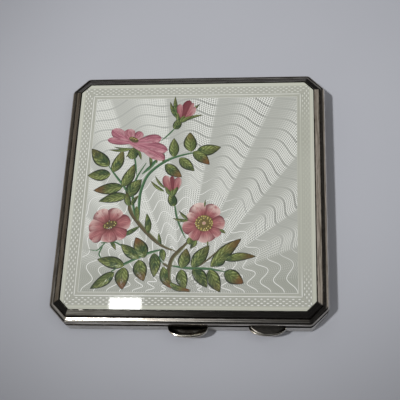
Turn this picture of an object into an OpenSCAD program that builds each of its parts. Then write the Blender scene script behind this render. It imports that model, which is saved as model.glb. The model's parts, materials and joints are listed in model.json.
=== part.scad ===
// Hinged box in silver and enamel, with a mirrored lid, a second lid over
// the well, and a flush hinge. Units are millimetres. +Z is up, the case
// stands on z = 0 with its centre on the Z axis, and -Y is the front.

/* [Case] */
// Width and depth of the case across its flats
case_w = 76; // [74:1:80]
// Leg of each canted corner at the outermost edge
corner_cut = 4.6; // [4:0.1:6]
// Radius that softens the outline's vertices at the outermost edge
corner_soft = 1.6; // [1:0.1:2]
// Height of the enamelled surface above the table
case_h = 10.2; // [10.2:0.1:12]
// Height of the joint line between lid and base
seam_z = 5.85; // [5.85:0.01:5.95]

/* [Panels] */
// Visible inset of the enamel panel from the outermost edge
frame_w = 3.45; // [3.3:0.05:3.8]
// Thickness of the enamel
enamel_t = 0.7; // [0.5:0.1:0.8]
// Thickness of the engine-turned plate under the enamel
ground_t = 0.4; // [0.3:0.05:0.5]
// Thickness of the mirror glass
mirror_t = 1.0; // [0.8:0.1:1.1]

/* [Thumbpieces] */
// Width of the lid's thumbpiece
lid_thumb_w = 11; // [9:0.5:13]
// How far the lid's thumbpiece stands out
lid_thumb_d = 3.0; // [2:0.1:3.2]
// Width of the inner lid's thumbpiece
inner_thumb_w = 9.8; // [8:0.5:12]
// How far the inner lid's thumbpiece stands out
inner_thumb_d = 2.35; // [2:0.1:2.8]
// Distance of the inner lid's thumbpiece from the middle
inner_thumb_x = 21.5; // [18:0.5:25]

/* [Hinges] */
// Radius of the main hinge barrel
barrel_r = 0.9; // [0.8:0.05:0.9]
// Length of the main hinge barrel
barrel_l = 64; // [50:1:64]
// Number of knuckles on the main hinge, an odd number
knuckles = 7; // [5:2:9]
// Radius of the inner lid's hinge barrel
inner_barrel_r = 0.65; // [0.6:0.05:0.65]
// Length of the inner lid's hinge barrel
inner_barrel_l = 40; // [30:1:50]
// Number of knuckles on the inner hinge, an odd number
inner_knuckles = 5; // [3:2:7]
// Angle of each side of the groove that lets the lid swing back
groove_angle = 52; // [48:1:55]

/* [Hidden] */

half_w = case_w / 2;
soft_min = 0.5;                       // radius of the vertices far inside
soft_fall = 0.4;                      // how fast that radius falls inwards
soft_steps = 3;                       // flats in each softened vertex
seam_gap = 0.05;                      // half the gap between lid and base
lid_z = seam_z + seam_gap;            // lowest edge of the lid
base_top = seam_z - seam_gap;         // highest edge of the base wall
bead_round = 1.05;                    // radius of the lid's outer bead
bead_z = case_h - 2.45;               // height of the bead's centre
skirt_inset = 0.3;                    // lid's skirt, under the bead
skirt_top = bead_z - 0.8;             // where the skirt meets the bead
slope_foot = [1.75, case_h - 0.55];   // upper slope of the border
slope_head = [2.98, case_h + 0.12];
cove_round = 0.34;                    // hollow between slope and bead
cove_z = case_h - 1.0;
lip_round = 0.19;                     // rubbed-over edge that holds the enamel
lid_wall = 0.95;                      // inside of the lid's skirt
base_wall = 1.1;                      // thickness of the base's wall
edge_break = 0.12;                    // bevel along the base wall's top
wall_foot_z = 1.9;                    // where the base wall turns in
wall_turn = 0.2;                      // radius of that turn
under_step = [1.0, 1.25];             // end of the slope under the wall
under_cove = 0.7;                     // hollow between slope and foot
under_cove_z = 0.45;
foot_edge = [1.85, 0.35];             // outer edge of the foot
foot_flat = [2.9, 0.12];              // where the foot levels out
foot_inset = 3.5;                     // inner edge of the foot
inner_foot_z = 1.5;                   // inside of the wall, at its foot
inner_wall_z = 2.6;                   // where the wall's inside is upright
rim_t = 0.7;                          // thickness of the upstanding rim
rim_top = 6.9;
rim_foot = 4.2;
front_cut_y = -30;                    // how far in the front notches reach
plate_inset = 3.1;                    // edge of the enamelled plate
liner_inset = 2.6;                    // edge of the lid's liner
liner_t = 0.4;
liner_seat = 1.2;                     // height of the seat round the liner
back_inset = 3.6;                     // edge of the resting face
flange_inset = 2.7;                   // edge of the back plate's flange
ledge_z = 0.4;                        // ledge that carries the back plate
pan_inset = 3.8;                      // outside of the well's wall
sheet_t = 0.4;                        // gauge of the pressed well
pan_z = ledge_z + sheet_t;            // underside of the well
deck_z = 5.2;                         // underside of the well's flange
deck_back_y = half_w - 2.05;          // back edge of that flange
deck_inset = base_wall + rim_t;
divider_t = 0.5;
divider_top = 4.9;

plate_z = case_h - enamel_t - ground_t;
liner_z = plate_z - liner_t;
card_t = 0.4;
mirror_z = liner_z - card_t - mirror_t;
mirror_lip = 0.2;                     // metal over the mirror's edge
mirror_seat = 3.8;                    // inset of the mirror's edge
mirror_sight = 5.1;                   // inset of the mirror's visible edge
slip = 0.05;                          // play of a loose fit

inner_z = seam_z;                     // underside of the inner lid
inner_t = 0.5;
inner_inset = 2.3;                    // edge of the inner lid
bezel_outer = 4.5;
bezel_inner = 5.1;
bezel_h = 0.6;

hinge_y = half_w - barrel_r;          // axis of the main hinge
hinge_z = seam_z;
pin_r = 0.4;
cut_r = barrel_r + 0.1;               // room round the main barrel
knuckle_gap = 0.1;
cap_t = 0.35;                         // discs on the ends of the barrel
hinge_room = barrel_l + 2 * (cap_t + knuckle_gap);
saddle_reach = 1.2;                   // half the width of a saddle's outline
saddle_angle = 60;                    // its inner side, above the axis
inner_y = half_w - 3;                 // axis of the inner lid's hinge
inner_axis_z = seam_z + 0.45;
inner_pin_r = 0.3;
inner_cut_r = inner_barrel_r + 0.1;
inner_room = inner_barrel_l + 2 * knuckle_gap;
inner_back_y = inner_y - 0.8;         // back edge of the inner lid

lid_thumb_t = 1.0;
inner_thumb_t = 0.9;
clear = 0.08;                         // air between a thumbpiece and a wall
tab_w = 6.4;                          // neck of the inner lid's thumbpiece
tab_reach = 0.6;                      // how far the neck stands out
notch_play = 0.4;
notch_w = tab_w + 2 * notch_play;     // gap that the neck passes through
nib_w = 8;
nib_t = 0.25;
nib_z = [lid_z + 0.05, lid_z + 0.3];  // lowest and highest edge of the nib
spring_w = 13;
spring_t = 0.25;
spring_z = 5.95;                      // lowest edge of the spring strip
spring_h = 0.7;
bead_r = 0.35;
bead_sink = 0.2;                      // how far the bead sits in the strip
far = 60;                             // reach of the cutting solids

// Corners of a canted square at a distance inside the outermost edge.
function sharp_canted(inset) =
    let (
        h = half_w - inset,
        c = h - (corner_cut - inset * (2 - sqrt(2)))
    )
    [[h, -c], [h, c], [c, h], [-c, h], [-h, c], [-h, -c], [-c, -h], [c, -h]];

// The same outline with each of its eight vertices softened by a small arc.
function canted(inset) =
    let (
        r = max(corner_soft - inset * soft_fall, soft_min),
        corners = sharp_canted(inset)
    )
    [
        for (k = [0 : 7], s = [0 : soft_steps])
            let (
                middle = k * 45 - 22.5,
                a = (k - 1 + s / soft_steps) * 45,
                centre = corners[k] - r / cos(22.5) * [cos(middle), sin(middle)]
            )
            centre + r * [cos(a), sin(a)]
    ];

// Points on an arc in a profile: [inset, height].
function arc(centre, r, from, to, steps = 6) = [
    for (k = [0 : steps])
        let (a = from + (to - from) * k / steps)
        [centre[0] + r * cos(a), centre[1] + r * sin(a)]
];

// A closed profile of [inset, height] carried round the canted square.
module mitred_ring(profile) {
    n = len(profile);
    around = 8 * (soft_steps + 1);
    points = [
        for (p = profile, c = canted(p[0])) [c[0], c[1], p[1]]
    ];
    faces = [
        for (i = [0 : n - 1], k = [0 : around - 1])
            let (j = (i + 1) % n, m = (k + 1) % around)
            [i * around + k, j * around + k, j * around + m, i * around + m]
    ];
    polyhedron(points = points, faces = faces, convexity = 6);
}

// A flat canted plate.
module canted_plate(inset, z, t) {
    translate([0, 0, z]) linear_extrude(height = t) polygon(canted(inset));
}

// A flat canted ring between two insets.
module canted_ring(outer, inner, z, t) {
    translate([0, 0, z]) linear_extrude(height = t) difference() {
        polygon(canted(outer));
        polygon(canted(inner));
    }
}

// A box from its lowest corner to its highest.
module block(low, high) {
    translate(low) cube(high - low);
}

// A rod along X, centred on x = 0.
module rod(y, z, r, l) {
    translate([-l / 2, y, z]) rotate([0, 90, 0]) cylinder(r = r, h = l, $fn = 48);
}

// One slice of a barrel's length: knuckle k of n.
module slice(k, n, l, play) {
    w = l / n;
    block([-l / 2 + k * w + play, -far, -far], [-l / 2 + (k + 1) * w - play, far, far]);
}

// The slices whose number has the given parity.
module slices(parity, n, l, play) {
    for (k = [parity : 2 : n - 1]) slice(k, n, l, play);
}

// V-shaped groove behind the hinge axis, for one side of the joint.
module groove(side) {
    reach = 3;
    translate([-half_w, hinge_y, hinge_z]) rotate([90, 0, 90])
        linear_extrude(height = case_w)
        polygon([
            [0, 0], [reach, 0],
            [reach, side * reach * tan(groove_angle)]
        ]);
}

lid_profile = concat(
    [[skirt_inset, lid_z], [skirt_inset, skirt_top]],
    arc([bead_round, bead_z], bead_round, 225, 90, 10),
    arc([slope_foot[0] - 0.07 - cove_round, cove_z], cove_round, 270, 360, 5),
    [slope_foot, slope_head],
    arc([frame_w - lip_round, case_h + 0.1], lip_round, 140, 0, 5),
    [
        [frame_w, case_h], [plate_inset, case_h], [plate_inset, plate_z],
        [liner_inset, plate_z], [liner_inset, plate_z - liner_seat],
        [lid_wall, skirt_top], [lid_wall, lid_z]
    ]
);

base_profile = concat(
    [[edge_break, base_top], [0, base_top - edge_break]],
    arc([wall_turn, wall_foot_z], wall_turn, 180, 270, 4),
    [under_step],
    arc([under_step[0] + 0.05, under_cove_z], under_cove, 90, 0, 6),
    [
        foot_edge, foot_flat, [foot_inset, foot_flat[1]], [foot_inset, ledge_z],
        [liner_inset, ledge_z], [liner_inset, inner_foot_z], [base_wall, inner_wall_z],
        [base_wall, base_top]
    ]
);

// Side walls and stepped lower border of the base.
module base_frame() {
    color("silver") difference() {
        mitred_ring(base_profile);
        groove(-1);
        rod(hinge_y, hinge_z, cut_r, hinge_room);
    }
}

// Engine-turned plate that closes the base and rests on the table.
module back_plate() {
    color("silver") union() {
        canted_plate(back_inset, 0, ledge_z);
        canted_plate(flange_inset, ledge_z, sheet_t);
    }
}

// Upstanding rim on three sides, which the lid's skirt closes over.
module base_rim() {
    color("gold") difference() {
        canted_ring(base_wall, deck_inset, rim_foot, rim_top - rim_foot);
        block([-far, inner_y - 2, 0], [far, far, case_h]);
        block([inner_thumb_x - notch_w / 2, -far, base_top],
              [inner_thumb_x + notch_w / 2, front_cut_y, case_h]);
        block([-nib_w / 2 - notch_play, -far, spring_z],
              [nib_w / 2 + notch_play, front_cut_y, case_h]);
    }
}

// Pressed gilt well with the flange that the inner lid lies on.
module well_pan() {
    opening = pan_inset + sheet_t;
    color("gold") difference() {
        union() {
            canted_plate(pan_inset, pan_z, deck_z - pan_z);
            intersection() {
                canted_plate(deck_inset, deck_z, base_top - deck_z);
                block([-far, -far, 0], [far, deck_back_y, case_h]);
            }
        }
        canted_plate(opening, pan_z + sheet_t, case_h);
        rod(inner_y, inner_axis_z, inner_cut_r, inner_room);
    }
}

// Cross wall that parts the well into four.
module well_divider() {
    reach = half_w - pan_inset - sheet_t;
    floor_z = pan_z + sheet_t;
    color("gold") union() {
        block([-reach, -divider_t / 2, floor_z], [reach, divider_t / 2, divider_top]);
        block([-divider_t / 2, -reach, floor_z], [divider_t / 2, reach, divider_top]);
    }
}

// A run of hinge tubes with the saddles that join them to their own side.
module main_knuckles(parity, side, bore) {
    difference() {
        intersection() {
            union() {
                rod(hinge_y, hinge_z, barrel_r, barrel_l);
                intersection() {
                    rod(hinge_y, hinge_z, cut_r, barrel_l);
                    translate([-half_w, hinge_y, hinge_z]) rotate([90, 0, 90])
                        linear_extrude(height = case_w)
                        polygon([
                            [0, 0],
                            [saddle_reach, side * saddle_reach * tan(groove_angle + 3)],
                            [saddle_reach / 2, side * saddle_reach * 2],
                            [-saddle_reach, side * saddle_reach * tan(saddle_angle)]
                        ]);
                }
            }
            slices(parity, knuckles, barrel_l, knuckle_gap / 2);
        }
        rod(hinge_y, hinge_z, bore, case_w);
    }
}

// Hinge tubes soldered to the base.
module base_knuckles() {
    color("silver") main_knuckles(0, -1, pin_r + 0.02);
}

// Hinge tubes soldered to the lid.
module lid_knuckles() {
    color("silver") main_knuckles(1, 1, pin_r + 0.05);
}

// Pin through all the knuckles of the main hinge.
module hinge_pin() {
    color("gray") rod(hinge_y, hinge_z, pin_r, barrel_l);
}

// Discs that close the two ends of the barrel.
module hinge_end_caps() {
    color("silver") difference() {
        rod(hinge_y, hinge_z, barrel_r, barrel_l + 2 * cap_t);
        rod(hinge_y, hinge_z, cut_r, barrel_l);
    }
}

// Hinge tubes of the inner lid that stand on the well's flange.
module inner_base_knuckles() {
    color("gold") difference() {
        intersection() {
            union() {
                rod(inner_y, inner_axis_z, inner_barrel_r, inner_barrel_l);
                intersection() {
                    rod(inner_y, inner_axis_z, inner_cut_r, inner_barrel_l);
                    block([-far, 0, 0], [far, far, base_top]);
                }
            }
            slices(0, inner_knuckles, inner_barrel_l, knuckle_gap / 2);
        }
        rod(inner_y, inner_axis_z, inner_pin_r + 0.02, case_w);
    }
}

// Hinge tubes on the back edge of the inner lid.
module inner_lid_knuckles() {
    color("gold") difference() {
        intersection() {
            union() {
                rod(inner_y, inner_axis_z, inner_barrel_r, inner_barrel_l);
                block([-inner_barrel_l / 2, inner_back_y, inner_z],
                      [inner_barrel_l / 2, inner_y, inner_z + inner_t]);
            }
            slices(1, inner_knuckles, inner_barrel_l, knuckle_gap / 2);
        }
        rod(inner_y, inner_axis_z, inner_pin_r + 0.04, case_w);
    }
}

// Pin of the inner lid's hinge.
module inner_hinge_pin() {
    color("gray") rod(inner_y, inner_axis_z, inner_pin_r, inner_barrel_l);
}

// Spring strip in the front of the rim, with the bead that the lid snaps over.
module catch_spring() {
    face_y = -half_w + deck_inset;
    color("gold") union() {
        block([-spring_w / 2, face_y, spring_z],
              [spring_w / 2, face_y + spring_t, spring_z + spring_h]);
        translate([0, face_y - bead_sink, spring_z + spring_h / 2]) rotate([0, 90, 0])
            cylinder(r = bead_r, h = nib_w, center = true, $fn = 32);
    }
}

// Stepped silver border and skirt of the lid.
module lid_frame() {
    color("silver") difference() {
        mitred_ring(lid_profile);
        groove(1);
        rod(hinge_y, hinge_z, cut_r, hinge_room);
        block([inner_thumb_x - notch_w / 2, -far, 0],
              [inner_thumb_x + notch_w / 2, front_cut_y, inner_z + inner_t + 0.2]);
    }
}

// Engine-turned silver ground under the enamel.
module guilloche_plate() {
    color("silver") canted_plate(plate_inset, plate_z, ground_t);
}

// Translucent white enamel.
module enamel_layer() {
    color("ivory") canted_plate(plate_inset, case_h - enamel_t, enamel_t);
}

// Gilt plate that closes the lid from inside.
module lid_liner() {
    color("gold") canted_plate(liner_inset, liner_z, liner_t);
}

// Card behind the mirror.
module mirror_backing() {
    color("saddlebrown") canted_plate(mirror_seat + slip, liner_z - card_t, card_t);
}

// Mirror glass.
module mirror() {
    color("lightblue") canted_plate(mirror_seat + slip, mirror_z, mirror_t);
}

// Gilt frame that holds the mirror in the lid.
module mirror_frame() {
    color("gold") mitred_ring([
        [liner_inset, liner_z], [liner_inset, mirror_z], [liner_inset + 0.2, mirror_z - mirror_lip],
        [mirror_sight - 0.15, mirror_z - mirror_lip], [mirror_sight, mirror_z],
        [mirror_seat, mirror_z], [mirror_seat, liner_z]
    ]);
}

// Crescent lug with a rounded edge, standing out from the front face.
module crescent(w, d, z, t) {
    r = (w * w / 4 + d * d) / (2 * d);
    edge = t / 2;
    translate([0, -half_w - d + r, z]) rotate_extrude($fn = 96) union() {
        square([r - edge, t]);
        translate([r - edge, edge]) intersection() {
            circle(r = edge, $fn = 32);
            translate([0, -edge]) square([edge, t]);
        }
    }
}

// Thumbpiece of the lid.
module lid_thumbpiece() {
    color("silver") intersection() {
        crescent(lid_thumb_w, lid_thumb_d, lid_z - lid_thumb_t / 2, lid_thumb_t);
        union() {
            block([-far, -far, 0], [far, -half_w - clear, case_h]);
            block([-far, -far, lid_z + 0.02], [far, -half_w + skirt_inset, case_h]);
        }
    }
}

// Small lug inside the lid's front skirt that rides over the spring's bead.
module lid_catch_nib() {
    inside = -half_w + lid_wall;
    color("gold") block([-nib_w / 2, inside, nib_z[0]], [nib_w / 2, inside + nib_t, nib_z[1]]);
}

// Flat gilt lid over the well.
module inner_lid_plate() {
    color("gold") intersection() {
        canted_plate(inner_inset, inner_z, inner_t);
        block([-far, -far, 0], [far, inner_back_y, case_h]);
    }
}

// Strip under the inner lid that fits inside the well's mouth.
module inner_lid_bezel() {
    color("gold") canted_ring(bezel_outer, bezel_inner, inner_z - bezel_h, bezel_h);
}

// Thumbpiece of the inner lid, with the neck that passes over the base.
module inner_lid_thumbpiece() {
    neck_back = -half_w + inner_inset;
    color("silver") union() {
        block([inner_thumb_x - tab_w / 2, -half_w - tab_reach, inner_z],
              [inner_thumb_x + tab_w / 2, neck_back, inner_z + inner_t]);
        intersection() {
            translate([inner_thumb_x, 0, 0])
                crescent(inner_thumb_w, inner_thumb_d, inner_z - 0.35, inner_thumb_t);
            block([0, -far, 0], [far, -half_w - clear, case_h]);
        }
    }
}

base_frame();
back_plate();
base_rim();
well_pan();
well_divider();
base_knuckles();
hinge_pin();
hinge_end_caps();
inner_base_knuckles();
inner_hinge_pin();
catch_spring();
lid_frame();
guilloche_plate();
enamel_layer();
lid_liner();
mirror_backing();
mirror();
mirror_frame();
lid_thumbpiece();
lid_knuckles();
lid_catch_nib();
inner_lid_plate();
inner_lid_bezel();
inner_lid_thumbpiece();
inner_lid_knuckles();
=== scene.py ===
"""Looks of the enamelled pill box: camera, light, materials and the pieces that show."""
import json
import math

import bpy
import numpy as np
from mathutils import Euler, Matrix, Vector

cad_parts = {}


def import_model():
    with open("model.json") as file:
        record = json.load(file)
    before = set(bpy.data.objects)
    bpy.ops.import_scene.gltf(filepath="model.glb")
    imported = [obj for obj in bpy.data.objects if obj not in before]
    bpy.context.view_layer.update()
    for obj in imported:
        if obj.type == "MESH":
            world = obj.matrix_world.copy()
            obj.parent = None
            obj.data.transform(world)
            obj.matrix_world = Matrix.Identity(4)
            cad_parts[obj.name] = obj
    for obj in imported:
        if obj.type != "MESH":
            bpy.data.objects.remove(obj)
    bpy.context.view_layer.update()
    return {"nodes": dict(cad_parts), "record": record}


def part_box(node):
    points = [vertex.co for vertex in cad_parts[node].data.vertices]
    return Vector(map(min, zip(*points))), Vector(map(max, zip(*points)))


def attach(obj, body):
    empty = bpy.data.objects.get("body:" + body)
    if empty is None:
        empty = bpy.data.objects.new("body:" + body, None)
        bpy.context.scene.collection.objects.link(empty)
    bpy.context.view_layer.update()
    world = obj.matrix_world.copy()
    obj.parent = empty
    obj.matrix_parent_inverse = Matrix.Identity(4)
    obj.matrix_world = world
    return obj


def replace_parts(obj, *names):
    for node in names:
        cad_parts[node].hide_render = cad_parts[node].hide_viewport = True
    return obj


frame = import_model()

MM = 0.001
FIELD = 29.8            # half the side of the engine-turned field, in mm
BORDER = 34.55          # half the visible side of the enamel
PANEL_CORNER = 2.6      # leg of the panel's canted corner
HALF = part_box("lid_frame")[1].x / MM
CASE_CORNER = 4.6       # leg of the case's canted corner
TURNING_CENTRE = (-1.5, -29.5)
LOBES = 24              # waves in a full turn of the engine turning
WAVE_PITCH = 3.55       # distance between the bold waves
WAVE_FIRST = 1.35       # radius of the first bold wave
FINE_PER_WAVE = 6       # fine cuts in each bold one
LAST_WAVE = 72          # radius past the field's far corners
CUT_WIDTH = 0.25        # of a bold wave
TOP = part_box("enamel_layer")[1].z / MM
INLAY = 0.004           # how far the bright cuts stand above the enamel
RIDGE = 0.05            # height of the ridges on the inner lid
CROWN = 0.07            # thickness of a painted leaf or petal at its middle


def seat(x, y):
    """Where a painted point goes on the panel: a fitted correction for what the camera's view misses."""
    u, v = x / 30, y / 30
    return (x + 0.86 - 0.21 * u + 0.41 * v - 0.58 * u * u - 0.12 * u * v,
            y + 0.08 + 0.10 * v - 0.59 * u * v - 0.11 * v * v)


# ---------------------------------------------------------------- meshes

def make_object(name, vertices, faces, body, uvs=None, floats=None, smooth=True):
    """A mesh from points in mm, which rides a body."""
    mesh = bpy.data.meshes.new(name)
    mesh.from_pydata([tuple(c * MM for c in v) for v in vertices], [], faces)
    mesh.update()
    if uvs is not None:
        layer = mesh.uv_layers.new(name="paint")
        for loop in mesh.loops:
            layer.data[loop.index].uv = uvs[loop.vertex_index]
    for key, values in (floats or {}).items():
        attribute = mesh.attributes.new(key, "FLOAT", "POINT")
        attribute.data.foreach_set("value", np.asarray(values, np.float32))
    if smooth:
        mesh.shade_smooth()
    obj = bpy.data.objects.new(name, mesh)
    bpy.context.scene.collection.objects.link(obj)
    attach(obj, body)
    return obj


class Strokes:
    """Collects brush strokes, petals and leaves into one mesh."""

    def __init__(self):
        self.vertices, self.faces, self.uvs = [], [], []
        self.floats = {"tone": [], "tint": []}

    def grid(self, rows, uv_rows, tone=0.5, tint=0.0):
        """Adds a grid of points; rows of equal length."""
        start, across = len(self.vertices), len(rows[0])
        for row, uv_row in zip(rows, uv_rows):
            self.vertices += [(*seat(p[0], p[1]), p[2]) for p in row]
            self.uvs += [tuple(c) for c in uv_row]
            self.floats["tone"] += [tone] * across
            self.floats["tint"] += [tint] * across
        for i in range(len(rows) - 1):
            for j in range(across - 1):
                a = start + i * across + j
                self.faces.append((a, a + across, a + across + 1, a + 1))

    def object(self, name, slot, material):
        obj = make_object(name, self.vertices, self.faces, "lid", self.uvs, self.floats)
        obj.data.materials.append(material)
        return obj


def smooth_path(points):
    """Catmull-Rom curve through points in the plane."""
    per_span = 8
    p = [np.array(q, float) for q in points]
    p = [2 * p[0] - p[1]] + p + [2 * p[-1] - p[-2]]
    out = []
    for a, b, c, d in zip(p, p[1:], p[2:], p[3:]):
        for k in range(per_span):
            t = k / per_span
            out.append(0.5 * (2 * b + (c - a) * t + (2 * a - 5 * b + 4 * c - d) * t ** 2
                              + (3 * b - a - 3 * c + d) * t ** 3))
    out.append(p[-2])
    return np.array(out)


def normals_of(path):
    """Unit normals of a curve in the plane, to its left."""
    t = np.gradient(path, axis=0)
    t /= np.linalg.norm(t, axis=1)[:, None] + 1e-9
    return np.stack([-t[:, 1], t[:, 0]], axis=1)


def stroke(strokes, points, width, lift, tone=0.5, tint=0.0):
    """A painted line that tapers to shares of its width at its two ends."""
    start_share, end_share, thick = 0.6, 0.3, 0.05
    path = smooth_path(points)
    side = normals_of(path)
    n = len(path)
    rows, uvs = [], []
    for i in range(n):
        u = i / (n - 1)
        ends = start_share + (1 - start_share) * min(1, u * 5)
        ends *= end_share + (1 - end_share) * min(1, (1 - u) * 3)
        half = width * ends / 2
        row, uv = [], []
        for v in np.linspace(-1, 1, 5):
            p = path[i] + side[i] * v * half
            row.append((p[0], p[1], TOP + lift + thick * (1 - v * v)))
            uv.append((u, 0.5 + v / 2))
        rows.append(row)
        uvs.append(uv)
    strokes.grid(rows, uvs, tone, tint)


def leaf(strokes, base, tip, width, bend, lift, tone=0.5, tint=0.0, fullest=0.42, blunt=0.0):
    """A leaf or petal from base to tip; width and bend are shares of its length."""
    base, tip = np.array(base, float), np.array(tip, float)
    axis = tip - base
    length = np.linalg.norm(axis)
    axis /= length
    side = np.array([-axis[1], axis[0]])
    rows, uvs = [], []
    steps = 18
    power = math.log(0.5) / math.log(fullest)
    for i in range(steps + 1):
        u = i / steps
        centre = base + axis * u * length + side * bend * length * math.sin(math.pi * u)
        shape = math.sin(math.pi * u ** power) ** (0.85 - 0.35 * blunt)
        half = width * length / 2 * max(shape, 0.0)
        row, uv = [], []
        for v in np.linspace(-1, 1, 9):
            p = centre + side * v * half
            row.append((p[0], p[1], TOP + lift + CROWN * (1 - v * v) * shape))
            uv.append((u, 0.5 + v / 2))
        rows.append(row)
        uvs.append(uv)
    strokes.grid(rows, uvs, tone, tint)


# ------------------------------------------------------------- materials

class Nodes:
    """Short calls for building a node tree."""

    def __init__(self, name):
        self.material = bpy.data.materials.new(name)
        self.material.use_nodes = True
        self.tree = self.material.node_tree
        self.shader = self.tree.nodes["Principled BSDF"]

    def put(self, socket, value):
        if isinstance(value, bpy.types.NodeSocket):
            self.tree.links.new(value, socket)
        elif value is not None:
            socket.default_value = value

    def set(self, **values):
        for key, value in values.items():
            self.put(self.shader.inputs[key.replace("_", " ")], value)

    def node(self, kind, **options):
        made = self.tree.nodes.new(kind)
        for key, value in options.items():
            setattr(made, key, value)
        return made

    def math(self, operation, a, b=None, c=None):
        made = self.node("ShaderNodeMath", operation=operation)
        for socket, value in zip(made.inputs, (a, b, c)):
            self.put(socket, value)
        return made.outputs[0]

    def mix(self, share, a, b, mode="MIX"):
        made = self.node("ShaderNodeMix", data_type="RGBA", blend_type=mode)
        self.put(made.inputs[0], share)
        self.put(made.inputs[6], a)
        self.put(made.inputs[7], b)
        return made.outputs[2]

    def ramp(self, value, stops):
        """stops: (position, colour) pairs."""
        made = self.node("ShaderNodeValToRGB")
        self.put(made.inputs[0], value)
        elements = made.color_ramp.elements
        while len(elements) < len(stops):
            elements.new(0.5)
        for element, (position, colour) in zip(elements, stops):
            element.position = position
            element.color = colour
        return made.outputs[0]

    def step(self, value, low, high, out_low=0.0, out_high=1.0):
        made = self.node("ShaderNodeMapRange", interpolation_type="SMOOTHSTEP")
        for socket, number in zip(made.inputs, (value, low, high, out_low, out_high)):
            self.put(socket, number)
        return made.outputs[0]

    def place(self, scale=(1, 1, 1)):
        """Object coordinates in mm."""
        coordinate = self.node("ShaderNodeTexCoord").outputs["Object"]
        made = self.node("ShaderNodeMapping")
        self.put(made.inputs[0], coordinate)
        self.put(made.inputs["Scale"], tuple(s / MM for s in scale))
        return made.outputs[0]

    def noise(self, place, scale, detail=2.0, rough=0.5):
        made = self.node("ShaderNodeTexNoise")
        self.put(made.inputs["Vector"], place)
        self.put(made.inputs["Scale"], scale)
        self.put(made.inputs["Detail"], detail)
        self.put(made.inputs["Roughness"], rough)
        return made.outputs[0]

    def split(self, vector):
        made = self.node("ShaderNodeSeparateXYZ")
        self.put(made.inputs[0], vector)
        return made.outputs[0], made.outputs[1], made.outputs[2]

    def join(self, x, y, z=0.0):
        made = self.node("ShaderNodeCombineXYZ")
        for socket, value in zip(made.inputs, (x, y, z)):
            self.put(socket, value)
        return made.outputs[0]

    def total(self, *terms):
        """Sum of several values."""
        made = terms[0]
        for term in terms[1:]:
            made = self.math("ADD", made, term)
        return made

    def times(self, *terms):
        """Product of several values."""
        made = terms[0]
        for term in terms[1:]:
            made = self.math("MULTIPLY", made, term)
        return made

    def inset(self):
        """How far a point is inside the case's canted outline, in mm, and its height."""
        x, y, z = self.split(self.place())
        x, y = self.math("ABSOLUTE", x), self.math("ABSOLUTE", y)
        flats = self.math("SUBTRACT", HALF, self.math("MAXIMUM", x, y))
        cant = self.math("SUBTRACT", 2 * HALF - CASE_CORNER, self.math("ADD", x, y))
        return self.math("MINIMUM", flats, self.math("MULTIPLY", cant, math.sqrt(0.5))), z

    def bump(self, height, strength, distance, normal=None):
        """Relief; distance is in mm."""
        made = self.node("ShaderNodeBump")
        self.put(made.inputs["Strength"], strength)
        self.put(made.inputs["Distance"], distance * MM)
        self.put(made.inputs["Height"], height)
        self.put(made.inputs["Normal"], normal)
        return made.outputs[0]


def rgb(red, green, blue):
    """A colour from screen values 0-255."""
    def linear(c):
        c /= 255
        return c / 12.92 if c <= 0.04045 else ((c + 0.055) / 1.055) ** 2.4
    return (linear(red), linear(green), linear(blue), 1.0)


def metal(name, colour, dull, roughness, scratches=0.3):
    """Polished metal with fine wear, faint tarnish and small dents."""
    n = Nodes(name)
    place = n.place()
    cloud = n.noise(place, 0.12, 4.0, 0.6)
    fine = n.noise(n.place((1, 1, 6)), 1.6, 5.0, 0.7)
    n.set(Base_Color=n.mix(n.step(cloud, 0.45, 0.8, 0.0, 0.35), colour, dull),
          Metallic=1.0,
          Roughness=n.math("ADD", n.math("MULTIPLY", fine, 0.12), roughness - 0.05),
          Normal=n.bump(fine, scratches, 0.01))
    return n.material


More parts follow.
